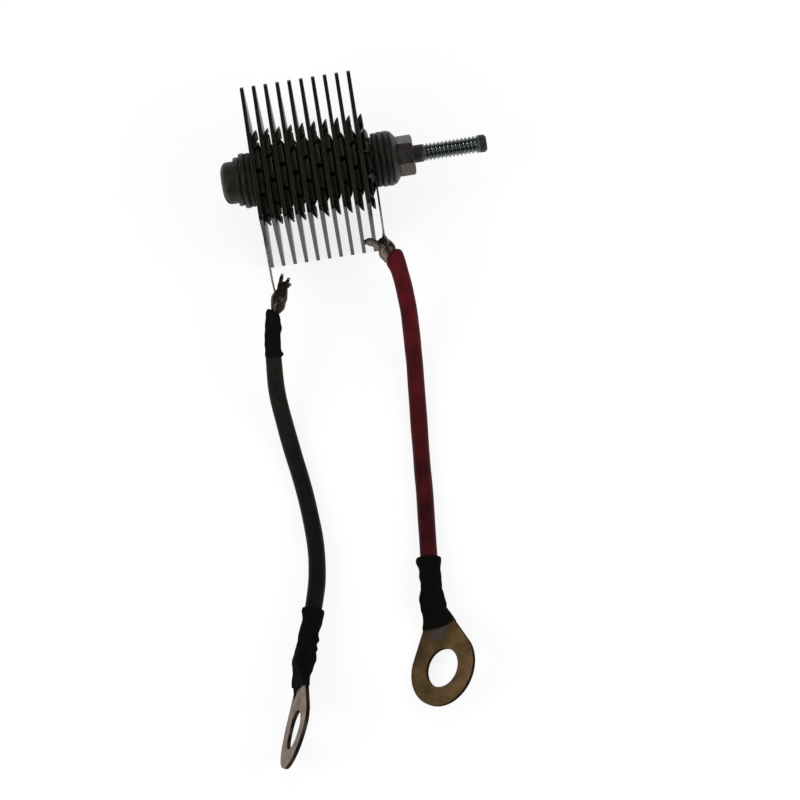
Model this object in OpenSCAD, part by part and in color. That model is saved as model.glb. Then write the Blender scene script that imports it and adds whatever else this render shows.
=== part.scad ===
// Surge suppressor for a generator: a stack of square selenium cell plates
// clamped on an insulated screw, with two soldered leads that end in ring lugs.
// X runs along the screw toward its free end, Z is up. The origin lies on the
// screw's axis at the outer face of the nut. The plates stand on their lower edges.

/* [Cell plates] */
// Number of plates in the stack
plate_count = 10; // [4:1:12]
// Side of the square plate
plate_w = 38.1; // [34:0.1:46]
// Thickness of a plate
plate_t = 1; // [0.6:0.05:1.6]
// Distance from one plate to the next
plate_pitch = 3.175; // [2.6:0.025:5]
// Cut across each corner
plate_corner = 0.8; // [0.2:0.1:3]

/* [Contact springs] */
// Outer diameter over the fingertips
spring_d = 26; // [25:0.1:30]
// Diameter of the circle where the fingers touch the plate
contact_d = 22.4; // [19:0.1:24]
// Diameter of the flat middle of a spring
spring_hub_d = 14.4; // [12.8:0.1:15]
// Sheet thickness of a spring
spring_t = 0.3; // [0.2:0.05:0.5]
// Height of the curled fingertips over the plate
tip_lift = 1.05; // [0.3:0.05:1.4]
// Number of fingers on a spring
finger_count = 12; // [8:1:14]
// Width of the slots between the fingers
finger_slot_w = 1.2; // [0.6:0.1:2]
// Turn of each spring against the one before it, in degrees
spring_turn = 13; // [0:1:36]

/* [Insulating tube and spacers] */
// Outer diameter of the insulating tube
tube_d = 7; // [6.4:0.1:8]
// Inner diameter of the insulating tube
tube_bore_d = 5; // [4.9:0.1:5.8]
// Gap left at the free end of the tube
tube_end_gap = 0.3; // [0.1:0.05:0.8]
// Outer diameter of the spacer rings
spacer_d = 12.4; // [10:0.1:12.8]
// Radial clearance of the rings and plates on the tube
tube_fit = 0.05; // [0.02:0.01:0.2]

/* [Clamp screw] */
// Diameter of the pan head
head_d = 11.4; // [9:0.1:13]
// Height of the pan head
head_h = 3.9; // [2.5:0.1:4.5]
// Height of the domed part of the head
crown_h = 1.9; // [0.6:0.1:2]
// Radius of the flat top of the head
crown_flat_r = 2.2; // [1:0.1:3]
// Width of the driver slot
drive_slot_w = 1.3; // [0.8:0.1:1.8]
// Depth of the driver slot
drive_slot_depth = 1.5; // [0.8:0.1:2]
// Diameter of the plain shank
shank_d = 4.2; // [3.6:0.05:4.4]
// Outer diameter of the thread on the free end
thread_d = 4.76; // [4.6:0.02:4.84]
// Length of the free end past the nut
free_l = 19.8; // [10:0.1:30]
// Diameter of the chamfered tip
tip_d = 3.6; // [2.4:0.1:4.2]
// Length of the tip's chamfer
tip_chamfer = 0.6; // [0.2:0.1:1.5]

/* [Washers and nut] */
// Diameter of the fibre washers at both ends of the stack
fibre_d = 14.6; // [13:0.1:17]
// Thickness of the fibre washers
fibre_t = 1.5; // [0.8:0.1:2.5]
// Diameter of the large flat washers
flat_d = 14.9; // [13:0.1:17]
// Diameter of the small flat washer under the screw head
small_flat_d = 13.2; // [12:0.1:16]
// Thickness of the flat washers
flat_t = 1.6; // [0.8:0.1:2.5]
// Bevel on the washers' edges
washer_edge = 0.25; // [0.1:0.05:0.4]
// Radial clearance of washers on the screw
screw_fit = 0.2; // [0.05:0.05:0.4]
// Height of the cupped spring washer
cup_h = 2.1; // [1.2:0.1:3]
// Rim height of the cupped spring washer
cup_rim = 0.5; // [0.3:0.1:1]
// Hollow under the cupped spring washer
cup_hollow = 0.9; // [0.3:0.1:1.1]
// Diameter of the cupped washer's face under the nut
cup_top_d = 10.4; // [9.6:0.1:11.5]
// Width of the nut across its flats
nut_w = 9.525; // [8:0.025:11]
// Height of the nut
nut_h = 4.1; // [2.5:0.1:6]
// Radial clearance of the nut on the shank
nut_fit = 0.02; // [0.01:0.01:0.05]
// Turn of the nut, in degrees
nut_turn = 15; // [0:1:60]

/* [Solder tags] */
// Width of the tag strips
tag_w = 6.35; // [4:0.05:9]
// Sheet thickness of the tags
tag_t = 0.5; // [0.3:0.05:1]
// Diameter of a tag's round eye on the tube
tag_eye_d = 12.7; // [11:0.1:14]
// Length of the tag for the black lead
black_tag_l = 33.5; // [33:0.1:34]
// Length of the tag for the red lead
red_tag_l = 25.4; // [25:0.1:26]
// Diameter of the hole for the strands
tag_hole_d = 2.8; // [2.6:0.1:3.2]
// Distance of the hole from the tag's end
tag_hole_inset = 2.4; // [2.2:0.1:2.6]

/* [Leads] */
// Outer diameter of the insulated leads
lead_d = 4.4; // [4:0.1:4.6]
// Diameter of the stripped strands
strand_d = 1.7; // [1.2:0.1:1.9]
// Diameter of the solder blobs
solder_d = 4.6; // [4:0.1:5]
// Wall of the sleeve on the start of the black lead
start_sleeve_t = 0.2; // [0.1:0.05:0.6]
// Diameter of the sleeve over the black lead's lug
black_sleeve_d = 5.6; // [5.2:0.1:6.4]
// Diameter of the sleeve over the red lead's lug
red_sleeve_d = 6.2; // [5.4:0.1:6.4]
// Length of black lead that the lug's sleeve covers
black_sleeve_back = 6; // [2:0.5:7]
// Length of red lead that the lug's sleeve covers
red_sleeve_back = 3.5; // [2:0.5:5.5]
// Length of the black lug's neck that the sleeve covers
black_sleeve_wrap = 7; // [2:0.5:8]
// Length of the red lug's neck that the sleeve covers
red_sleeve_wrap = 6.5; // [2:0.5:8]
// Wall of the sleeve where it wraps the neck
wrap_t = 0.4; // [0.2:0.05:0.8]
// Radial clearance of the sleeves on the leads
sleeve_fit = 0.05; // [0.02:0.01:0.2]

/* [Ring lugs] */
// Outer diameter of the ring
ring_d = 20.4; // [16:0.1:21]
// Hole for the terminal stud
lug_hole_d = 10.4; // [8:0.1:11]
// Sheet thickness of a lug
lug_t = 1; // [0.6:0.1:1.2]
// Distance from the barrel to the ring's centre
neck_l = 19; // [16:0.1:22]
// Outer diameter of the barrel
barrel_d = 4.8; // [4.7:0.1:5]
// Length of the barrel
barrel_l = 8; // [5:0.5:12]
// Bore of the barrel
barrel_bore_d = 3; // [2.4:0.1:3.4]
// Clearance of the wire's core in the barrel
core_fit = 0.05; // [0.02:0.01:0.2]
// Length of the tongue that lies under the barrel
tongue_root = 3; // [1:0.5:4]
// Roll of the black lug about its lead, in degrees
black_lug_roll = 71; // [60:1:80]
// Roll of the red lug about its lead, in degrees
red_lug_roll = 36; // [30:1:40]
// Sideways bend of the black lug's tongue, in degrees
black_lug_bend = 3; // [0:0.5:8]
// Upward bend of the red lug's tongue, in degrees
red_lug_bend = 6; // [4:0.5:8]
// Sideways swing of the red lug's tongue, in degrees
red_lug_swing = 6; // [4:0.5:8]

/* [Hidden] */
$fn = 64;
eps = 0.01;

// Places along the screw, counted from the nut's outer face
gap = plate_pitch - plate_t;
x_nut = -nut_h;
x_cup = x_nut - cup_h;
x_outer_flat = x_cup - flat_t;
x_inner_flat = x_outer_flat - flat_t;
x_right_fibre = x_inner_flat - fibre_t;
x_red_tag = x_right_fibre - tag_t;
x_black_tag = plate_face(1) - plate_t - tag_t;
x_left_fibre = x_black_tag - fibre_t;
x_left_flat = x_left_fibre - flat_t;
x_small_flat = x_left_flat - flat_t;
x_head = x_small_flat - head_h;

// Right face of a plate, where its spring and spacer begin
function plate_face(i) = x_red_tag - gap - (plate_count - i) * plate_pitch;

tube_hole_d = tube_d + 2 * tube_fit;
screw_hole_d = thread_d + 2 * screw_fit;
tag_hole_at_black = tag_hole_inset - black_tag_l;
tag_hole_at_red = tag_hole_inset - red_tag_l;

// Routes of the leads and of their bare strands, along their middles
black_route = [
    [-43.5, -38, 0], [-44, -40.5, -0.5], [-44.6, -43.5, -1.6], [-45.1, -46.5, -3.2],
    [-45.5, -49.5, -5.1], [-45.8, -52.5, -7.2], [-46, -55.5, -9.2], [-46, -58.5, -11],
    [-45.8, -61.5, -12.6], [-45.4, -65, -14.2], [-44.9, -69, -15.6], [-44.3, -73.5, -16.5],
    [-43.5, -79, -16.8], [-42.8, -85, -16.7], [-42.3, -91, -16.2], [-42.1, -97, -15.5],
    [-42.3, -103, -14.9], [-43.1, -109, -14.1], [-44.6, -115, -13.3], [-46.9, -122.5, -12.3]
];
red_route = [
    [-9.5, -27.5, 0], [-9.1, -29.5, -0.4], [-8.7, -32.5, -1.4], [-8.3, -35.5, -3],
    [-8.1, -38.5, -4.9], [-8, -41.5, -7], [-8.1, -44.5, -9], [-8.2, -47.5, -10.9],
    [-8.4, -50.5, -12.5], [-8.6, -54, -14.2], [-9, -58.5, -15.7], [-9.5, -64, -16.6],
    [-10, -70, -16.8], [-10.5, -76, -16.8], [-11, -82, -16.8], [-11.4, -88, -16.6],
    [-11.9, -94, -16.2], [-12.4, -99.5, -15.8], [-12.9, -105, -15.4], [-13.4, -111, -15]
];
black_strand_route = [
    [-43.5, -38, 0], [-43.2, -36.5, 0.3], [-42.5, -35, 0.4], [-41.9, -33.3, 0.4],
    [-41.2, -31.5, 0.6], [-39.9, -29, 0.9]
];
red_strand_route = [
    [-9.5, -27.5, 0], [-9.8, -26, 0.3], [-9.9, -24.4, 0.2], [-10.4, -23.2, 0],
    [-11.8, -22.9, 0], [-13, -22.5, 0.2], [-14.4, -22.1, 0.2], [-16.4, -22.4, -0.3]
];
black_solder_at = [-41.7, -34.8, 0.3];
red_solder_at = [-10.5, -24.6, 0.1];
// The sleeve on the start of the black lead ends at this point of its route
start_sleeve_last = 4;
lead_sides = 10;
strand_sides = 8;

// Outline of a plate with its corners cut
plate_outline = [
    for (k = [0:3], end = [-1, 1])
        let (
            half = plate_w / 2,
            along = end * (half - plate_corner),
            c = cos(90 * k),
            s = sin(90 * k)
        ) [half * c - along * s, half * s + along * c]
];

// A finger's height over its plate: down from the hub to the contact circle, then up to the tip
spring_lines = 5;
hub_r = spring_hub_d / 2;
contact_r = contact_d / 2;
tip_r = spring_d / 2;
spring_seat = gap - spring_t;
function finger_z(r) = r <= contact_r
    ? spring_seat * (1 + cos(180 * (r - hub_r) / (contact_r - hub_r))) / 2
    : tip_lift * (1 - cos(90 * (r - contact_r) / (tip_r - contact_r)));
spring_radii = [
    for (k = [0:spring_lines]) hub_r + (contact_r - hub_r) * k / spring_lines,
    for (k = [1:spring_lines]) contact_r + (tip_r - contact_r) * k / spring_lines
];
last_radius = len(spring_radii) - 1;
spring_profile = concat(
    [[tube_hole_d / 2, spring_seat]],
    [for (r = spring_radii) [r, finger_z(r)]],
    [for (k = [last_radius:-1:0]) [spring_radii[k], finger_z(spring_radii[k]) + spring_t]],
    [[tube_hole_d / 2, gap]]
);

// The slots between the fingers start with a round root at the hub and run out past the tips
slot_root_at = hub_r + finger_slot_w / 2;
slot_l = tip_r + 1 - slot_root_at;

// Half profile of the clamp screw from the crown of its head to the tip
crown_steps = 6;
screw_profile = concat(
    [[0, x_head]],
    [for (k = [0:crown_steps])
        let (a = 90 * k / crown_steps)
        [crown_flat_r + (head_d / 2 - crown_flat_r) * sin(a), x_head + crown_h * (1 - cos(a))]],
    [
        [head_d / 2, x_head + head_h],
        [shank_d / 2, x_head + head_h],
        [shank_d / 2, 0],
        [thread_d / 2, 0],
        [thread_d / 2, free_l - tip_chamfer],
        [tip_d / 2, free_l],
        [0, free_l]
    ]
);

// Rings of a swept tube: across is level, and over points up and square to the path
function unit(v) = v / norm(v);
function tangent(path, i) = unit(path[min(i + 1, len(path) - 1)] - path[max(i - 1, 0)]);
function ring(path, i, r, sides) =
    let (
        t = tangent(path, i),
        across = unit(cross(t, [0, 0, 1])),
        over = cross(across, t)
    )
    [for (k = [0:sides - 1])
        path[i] + r * (cos(360 * k / sides) * across + sin(360 * k / sides) * over)];
function wall(first, sides, flip) = [
    for (k = [0:sides - 1], half = [0, 1])
        let (
            a = first + k,
            b = first + (k + 1) % sides,
            tri = half == 0 ? [a, b, b + sides] : [a, b + sides, a + sides]
        ) flip ? [tri[2], tri[1], tri[0]] : tri
];

// Straight lines of a lug's neck, tangent to its ring
neck_half_w = barrel_d / 2;
ring_r = ring_d / 2;
corner_to_ring = norm([neck_l, neck_half_w]);
neck_slope = asin(ring_r / corner_to_ring) - atan2(neck_half_w, neck_l);
neck_side = sqrt(corner_to_ring * corner_to_ring - ring_r * ring_r);
tongue_drop = (barrel_d - lug_t) / 2;
function neck_half(u) = neck_half_w + u * tan(neck_slope);

// Turns local Z to the screw's axis, with local X along Y and local Y up
module on_screw(x = 0) {
    translate([x, 0, 0]) rotate([90, 0, 90]) children();
}

module clamp_screw() {
    color("#6b6c68")
    difference() {
        on_screw() rotate_extrude() polygon(screw_profile);
        translate([x_head - eps, -head_d, -drive_slot_w / 2])
            cube([drive_slot_depth + eps, 2 * head_d, drive_slot_w]);
    }
}

module insulating_tube() {
    color("#2a211a")
    on_screw(x_left_fibre)
    difference() {
        tube_l = x_inner_flat - x_left_fibre - tube_end_gap;
        cylinder(d = tube_d, h = tube_l);
        translate([0, 0, -eps]) cylinder(d = tube_bore_d, h = tube_l + 2 * eps);
    }
}

module cell_plate(i) {
    color("#1a1815")
    on_screw(plate_face(i) - plate_t)
    difference() {
        linear_extrude(plate_t) polygon(plate_outline);
        translate([0, 0, -eps]) cylinder(d = tube_hole_d, h = plate_t + 2 * eps);
    }
}

module finger_slot() {
    translate([slot_root_at, 0, -eps])
    linear_extrude(gap + 2 * eps) {
        circle(d = finger_slot_w);
        translate([0, -finger_slot_w / 2]) square([slot_l, finger_slot_w]);
    }
}

module contact_spring(i) {
    color("#23221e")
    on_screw(plate_face(i))
    rotate([0, 0, spring_turn * i])
    difference() {
        rotate_extrude() polygon(spring_profile);
        for (k = [0:finger_count - 1])
            rotate([0, 0, 360 * k / finger_count]) finger_slot();
    }
}

module spacer(i) {
    color("#2b2924")
    on_screw(plate_face(i))
    washer(spacer_d, tube_hole_d, spring_seat);
}

// A ring with bevelled outer edges
module washer(d, bore_d, t) {
    rotate_extrude() polygon([
        [bore_d / 2, 0],
        [d / 2 - washer_edge, 0],
        [d / 2, washer_edge],
        [d / 2, t - washer_edge],
        [d / 2 - washer_edge, t],
        [bore_d / 2, t]
    ]);
}

module small_flat_washer() {
    color("#4a4740") on_screw(x_small_flat) washer(small_flat_d, screw_hole_d, flat_t);
}

module left_flat_washer() {
    color("#4a4740") on_screw(x_left_flat) washer(flat_d, screw_hole_d, flat_t);
}

module left_fibre_washer() {
    color("#2f221b") on_screw(x_left_fibre) washer(fibre_d, tube_hole_d, fibre_t);
}

module right_fibre_washer() {
    color("#2f221b") on_screw(x_right_fibre) washer(fibre_d, tube_hole_d, fibre_t);
}

module inner_flat_washer() {
    color("#4a4740") on_screw(x_inner_flat) washer(flat_d, screw_hole_d, flat_t);
}

module outer_flat_washer() {
    color("#4a4740") on_screw(x_outer_flat) washer(flat_d, screw_hole_d, flat_t);
}

module cupped_washer() {
    color("#4a4740")
    on_screw(x_cup)
    rotate_extrude() polygon([
        [screw_hole_d / 2, cup_hollow],
        [flat_d / 2 - washer_edge, 0],
        [flat_d / 2 - washer_edge, cup_rim],
        [cup_top_d / 2, cup_h],
        [screw_hole_d / 2, cup_h]
    ]);
}

module hex_nut() {
    color("#77746f")
    on_screw(x_nut)
    rotate([0, 0, nut_turn])
    difference() {
        corner_r = nut_w / 2 / cos(30);
        bevel = (corner_r - nut_w / 2) / 2;
        intersection() {
            cylinder(r = corner_r, h = nut_h, $fn = 6);
            rotate_extrude() polygon([
                [0, 0],
                [corner_r + eps, 0],
                [corner_r + eps, nut_h - bevel],
                [nut_w / 2, nut_h],
                [0, nut_h]
            ]);
        }
        translate([0, 0, -eps]) cylinder(d = shank_d + 2 * nut_fit, h = nut_h + 2 * eps);
    }
}

// A flat solder tag: an eye on the tube, a strip toward -Y and a hole for the strands
module tag(tag_l, hole_at) {
    difference() {
        linear_extrude(tag_t) {
            circle(d = tag_eye_d);
            translate([tag_w / 2 - tag_l, -tag_w / 2]) square([tag_l - tag_w / 2, tag_w]);
            translate([tag_w / 2 - tag_l, 0]) circle(d = tag_w);
        }
        translate([0, 0, -eps]) cylinder(d = tube_hole_d, h = tag_t + 2 * eps);
        translate([hole_at, 0, -eps]) cylinder(d = tag_hole_d, h = tag_t + 2 * eps);
    }
}

module black_tag() {
    color("#8d8176") on_screw(x_black_tag) tag(black_tag_l, tag_hole_at_black);
}

module red_tag() {
    color("#8d8176") on_screw(x_red_tag) tag(red_tag_l, tag_hole_at_red);
}

// A solid tube along a path
module swept(path, r, sides) {
    last = len(path) - 1;
    polyhedron(
        points = [for (i = [0:last]) each ring(path, i, r, sides)],
        faces = concat(
            [[for (k = [sides - 1:-1:0]) k]],
            [for (i = [0:last - 1]) each wall(i * sides, sides, false)],
            [[for (k = [0:sides - 1]) last * sides + k]]
        )
    );
}

// A hollow sleeve along the first points of a path, with its inner wall on the lead
module swept_sleeve(path, last, r_in, r_out, sides) {
    inner = (last + 1) * sides;
    polyhedron(
        points = concat(
            [for (i = [0:last]) each ring(path, i, r_out, sides)],
            [for (i = [0:last]) each ring(path, i, r_in, sides)]
        ),
        faces = concat(
            [for (i = [0:last - 1]) each wall(i * sides, sides, false)],
            [for (i = [0:last - 1]) each wall(inner + i * sides, sides, true)],
            sleeve_end(0, inner, sides, false),
            sleeve_end(last * sides, inner + last * sides, sides, true)
        )
    );
}
function sleeve_end(a, b, sides, flip) = [
    for (k = [0:sides - 1], half = [0, 1])
        let (
            n = (k + 1) % sides,
            tri = half == 0 ? [a + k, b + k, b + n] : [a + k, b + n, a + n]
        ) flip ? [tri[2], tri[1], tri[0]] : tri
];

module black_strands() {
    color("#8c5a3a") swept(black_strand_route, strand_d / 2, strand_sides);
}

module red_strands() {
    color("#8c5a3a") swept(red_strand_route, strand_d / 2, strand_sides);
}

module black_solder() {
    color("#8f8b84")
    difference() {
        translate(black_solder_at) sphere(d = solder_d);
        black_tag();
        black_strands();
    }
}

module red_solder() {
    color("#8f8b84")
    difference() {
        translate(red_solder_at) sphere(d = solder_d);
        red_tag();
        red_strands();
    }
}

// Puts local X on the end of a lead, with local Z turned by the roll
module on_lead_end(path, roll) {
    last = len(path) - 1;
    d = unit(path[last] - path[last - 1]);
    translate(path[last])
        rotate([0, -asin(d.z), atan2(d.y, d.x)])
        rotate([roll, 0, 0])
        children();
}

module along_barrel(x = 0) {
    translate([x, 0, 0]) rotate([0, 90, 0]) children();
}

// The tongue's own frame: X runs along the neck from the barrel's mouth, Z is square to the ring
module on_tongue(bend, swing) {
    translate([barrel_l, 0, -tongue_drop]) rotate([0, -bend, swing]) children();
}

module lead(path, roll) {
    swept(path, lead_d / 2, lead_sides);
    on_lead_end(path, roll) along_barrel(-eps) cylinder(d = barrel_bore_d - 2 * core_fit, h = barrel_l);
}

module black_lead() {
    color("#16130f") lead(black_route, black_lug_roll);
}

module red_lead() {
    color("#4a181c") lead(red_route, red_lug_roll);
}

module black_start_sleeve() {
    color("#14120f")
    swept_sleeve(black_route, start_sleeve_last, lead_d / 2, lead_d / 2 + start_sleeve_t, lead_sides);
}

// A ring lug with its barrel along X
module lug(bend, swing) {
    tangent_at = [neck_side * cos(neck_slope), neck_half_w + neck_side * sin(neck_slope)];
    difference() {
        union() {
            along_barrel() cylinder(d = barrel_d, h = barrel_l);
            on_tongue(bend, swing)
            translate([0, 0, -lug_t / 2])
            linear_extrude(lug_t) {
                translate([neck_l, 0]) circle(d = ring_d);
                polygon([
                    [-tongue_root, -neck_half_w / 2],
                    [0, -neck_half_w],
                    [tangent_at.x, -tangent_at.y],
                    [neck_l, 0],
                    [tangent_at.x, tangent_at.y],
                    [0, neck_half_w],
                    [-tongue_root, neck_half_w / 2]
                ]);
            }
        }
        along_barrel(-eps) cylinder(d = barrel_bore_d, h = barrel_l + 2 * eps);
        on_tongue(bend, swing)
            translate([neck_l, 0, -lug_t]) cylinder(d = lug_hole_d, h = 2 * lug_t);
    }
}

module black_lug() {
    color("#8a7d74") on_lead_end(black_route, black_lug_roll) lug(black_lug_bend, 0);
}

module red_lug() {
    color("#5d4b33") on_lead_end(red_route, red_lug_roll) lug(red_lug_bend, red_lug_swing);
}

// A shrunk sleeve over the end of the lead and the barrel, flattened where it wraps the neck
module lug_sleeve(d, back, wrap, bend, swing) {
    wrap_h = lug_t + 2 * wrap_t;
    difference() {
        union() {
            along_barrel(-back) cylinder(d = d, h = back + barrel_l);
            hull() {
                along_barrel(barrel_l - tongue_root) cylinder(d = d, h = tongue_root, $fn = 32);
                on_tongue(bend, swing)
                for (u = [0, wrap - eps]) {
                    wrap_half = neck_half(u) + wrap_t;
                    translate([u, -wrap_half, -wrap_h / 2]) cube([eps, 2 * wrap_half, wrap_h]);
                }
            }
        }
        along_barrel(-back - eps) cylinder(d = lead_d + 2 * sleeve_fit, h = back + eps);
        along_barrel(0) cylinder(d = barrel_bore_d, h = barrel_l);
        lug(bend, swing);
    }
}

module black_lug_sleeve() {
    color("#12110f")
    on_lead_end(black_route, black_lug_roll)
    lug_sleeve(black_sleeve_d, black_sleeve_back, black_sleeve_wrap, black_lug_bend, 0);
}

module red_lug_sleeve() {
    color("#12110f")
    on_lead_end(red_route, red_lug_roll)
    lug_sleeve(red_sleeve_d, red_sleeve_back, red_sleeve_wrap, red_lug_bend, red_lug_swing);
}

clamp_screw();
insulating_tube();
for (i = [1:plate_count]) cell_plate(i);
for (i = [1:plate_count]) contact_spring(i);
for (i = [1:plate_count]) spacer(i);
small_flat_washer();
left_flat_washer();
left_fibre_washer();
black_tag();
red_tag();
right_fibre_washer();
inner_flat_washer();
outer_flat_washer();
cupped_washer();
hex_nut();
black_strands();
black_solder();
black_lead();
black_start_sleeve();
black_lug_sleeve();
black_lug();
red_strands();
red_solder();
red_lead();
red_lug_sleeve();
red_lug();
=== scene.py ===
import bmesh
import bpy
import numpy as np
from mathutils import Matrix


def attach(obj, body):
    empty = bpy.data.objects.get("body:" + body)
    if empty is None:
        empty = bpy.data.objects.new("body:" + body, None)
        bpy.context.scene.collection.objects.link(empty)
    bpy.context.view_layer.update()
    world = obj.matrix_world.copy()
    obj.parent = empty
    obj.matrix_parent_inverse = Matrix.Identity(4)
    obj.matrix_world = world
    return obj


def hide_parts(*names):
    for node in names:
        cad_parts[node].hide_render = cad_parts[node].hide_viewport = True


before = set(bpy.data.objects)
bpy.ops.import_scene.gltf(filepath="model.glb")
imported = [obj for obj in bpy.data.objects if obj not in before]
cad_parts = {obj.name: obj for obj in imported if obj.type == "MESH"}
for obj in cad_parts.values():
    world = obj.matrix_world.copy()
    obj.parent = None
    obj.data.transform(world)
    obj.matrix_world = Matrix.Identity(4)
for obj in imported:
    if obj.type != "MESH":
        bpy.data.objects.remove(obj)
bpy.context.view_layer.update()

# The camera looks down on the part from high above its near side. A long lens keeps
# the plates nearly parallel, and a small roll makes the screw rise to the right.
camera = bpy.data.objects.new("camera", bpy.data.cameras.new("camera"))
camera.data.lens = 130.43
camera.data.sensor_width = 36
camera.data.clip_start = 0.05
camera.data.clip_end = 20
camera.location = (-0.01981, -0.29527, 0.72465)
camera.rotation_euler = np.radians([17.2825, 2.2815, -8.7176])
bpy.context.scene.collection.objects.link(camera)
bpy.context.scene.camera = camera
bpy.context.scene.view_settings.view_transform = "Standard"


# The table is a plain white sheet that the plates stand on. It is pure white to the
# camera and in polished metal, and keeps a faint soft shadow under the part.
def linear(hex_colour):
    """Linear red, green, blue and alpha of an sRGB colour, by the standard's two-part curve."""
    c = np.array([int(hex_colour[k : k + 2], 16) for k in (0, 2, 4)]) / 255
    return (*np.where(c <= 0.04045, c / 12.92, ((c + 0.055) / 1.055) ** 2.4), 1.0)


def add(tree, kind, settings=(), stops=(), **sockets):
    """Adds a shader node with its settings; each socket takes a value or another node's output.

    The stops of a colour ramp are pairs of a place and an sRGB hex colour or a level, in rising order.
    """
    node = tree.nodes.new("ShaderNode" + kind)
    for name, value in dict(settings).items():
        setattr(node, name, value)
    for name, value in sockets.items():
        socket = node.inputs[int(name[1:]) if name[1:].isdigit() else name.replace("_", " ")]
        if isinstance(value, bpy.types.NodeSocket):
            tree.links.new(value, socket)
        else:
            socket.default_value = value
    if stops:
        for _ in stops[2:]:
            node.color_ramp.elements.new(0.5)
        for element, (at, colour) in zip(node.color_ramp.elements, stops):
            element.position = at
            element.color = linear(colour) if isinstance(colour, str) else (colour, colour, colour, 1)
    return node


def new_tree(name):
    """An empty material and its node tree."""
    material = bpy.data.materials.new(name)
    material.use_nodes = True
    material.node_tree.nodes.clear()
    return material, material.node_tree


table_level = -0.01905
table_half = 3.0
table_mesh = bpy.data.meshes.new("table")
table_corners = table_half * np.array([[-1, -1, 0], [1, -1, 0], [1, 1, 0], [-1, 1, 0]]) + [0, 0, table_level]
table_mesh.from_pydata(table_corners.tolist(), [], [[0, 1, 2, 3]])
table = bpy.data.objects.new("table", table_mesh)
bpy.context.scene.collection.objects.link(table)

# White paper board gives the eye an even white. Only a quarter of it takes light and shadow.
table_white, tree = new_tree("white_table")
rays = add(tree, "LightPath").outputs
mirrored = add(tree, "Math", {"operation": "MAXIMUM"}, _0=rays["Is Camera Ray"], _1=rays["Is Glossy Ray"])
seen = add(tree, "Math", {"operation": "MAXIMUM"}, _0=mirrored.outputs[0], _1=rays["Is Transmission Ray"])
share = add(tree, "Math", {"operation": "MULTIPLY"}, _0=seen.outputs[0], _1=0.75)
sheet = add(tree, "BsdfDiffuse", Color=linear("f2f2f2"))
glow = add(tree, "Emission", Strength=1.1)
lit_sheet = add(tree, "MixShader", _0=share.outputs[0], _1=sheet.outputs[0], _2=glow.outputs[0])
add(tree, "OutputMaterial", Surface=lit_sheet.outputs[0])
table_mesh.materials.append(table_white)

# Studio light: an even pale room, a soft box above each side, a low one behind, and a
# small lamp overhead that glints on the thread. The room is dim where metal mirrors it.
world = bpy.data.worlds.new("studio")
bpy.context.scene.world = world
world.use_nodes = True
tree = world.node_tree
tree.nodes.clear()
rays = add(tree, "LightPath").outputs
dimmed = add(tree, "Math", {"operation": "MULTIPLY_ADD"}, _0=rays["Is Glossy Ray"], _1=-0.46, _2=0.6)
brightness = add(tree, "Math", {"operation": "MAXIMUM"}, _0=dimmed.outputs[0], _1=rays["Is Camera Ray"])
room = add(tree, "Background", Strength=brightness.outputs[0])
add(tree, "OutputWorld", Surface=room.outputs[0])
for name, spot, tilt, size, watts in (
    ("left_box", (-0.65, -0.25, 0.7), (20, -43, 0), 0.5, 2.4),
    ("right_box", (0.65, -0.3, 0.7), (23, 43, 0), 0.5, 2.2),
    ("low_box", (0.1, 0.9, 0.25), (-74, 0, 0), 0.4, 0.8),
    ("overhead_lamp", (0.05, 0.2, 0.9), (-12, 3, 0), 0.12, 0.5),
):
    lamp = bpy.data.objects.new(name, bpy.data.lights.new(name, "AREA"))
    lamp.data.size = size
    lamp.data.energy = watts
    lamp.location = spot
    lamp.rotation_euler = np.radians(tilt)
    bpy.context.scene.collection.objects.link(lamp)


# Clamp screw: a zinc plated steel machine screw with a slotted pan head, turned and
# thread-rolled. It holds the whole stack, and its bare threaded end is the mounting stud.
def put(name, mesh, material, *nodes):
    """A new piece at the origin with this mesh and material; it rides on the part and stands for nodes."""
    piece = bpy.data.objects.new(name, mesh)
    bpy.context.scene.collection.objects.link(piece)
    mesh.materials.append(material)
    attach(piece, "root")
    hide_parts(*nodes)
    return piece


def welded(mesh, distance=1e-6):
    """Merges points that coincide, drops faces without area, and turns every face outwards."""
    merged = bmesh.new()
    merged.from_mesh(mesh)
    bmesh.ops.remove_doubles(merged, verts=merged.verts, dist=distance)
    bmesh.ops.dissolve_degenerate(merged, edges=merged.edges, dist=distance)
    bmesh.ops.recalc_face_normals(merged, faces=merged.faces)
    merged.to_mesh(mesh)
    merged.free()
    return mesh


def quads(rows, columns, around=False, along=False):
    """Corner numbers of the quads of a point grid, closed around its columns or along its rows if asked."""
    i, j = np.meshgrid(np.arange(rows - (not along)), np.arange(columns - (not around)), indexing="ij")
    n, k = (i + 1) % rows, (j + 1) % columns
    return np.stack([i * columns + j, n * columns + j, n * columns + k, i * columns + k], -1).reshape(-1, 4)


def grids_mesh(name, parts):
    """One mesh from several (points, faces) parts, smooth shaded up to 40 degrees."""
    starts = np.cumsum([0] + [len(points) for points, _ in parts])
    mesh = bpy.data.meshes.new(name)
    points = np.vstack([p for p, _ in parts])
    faces = [f for (_, part), start in zip(parts, starts) for f in (np.asarray(part) + start).tolist()]
    mesh.from_pydata(points.tolist(), [], faces)
    welded(mesh)
    mesh.shade_smooth()
    mesh.set_sharp_from_angle(angle=np.radians(40))
    return mesh


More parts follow.
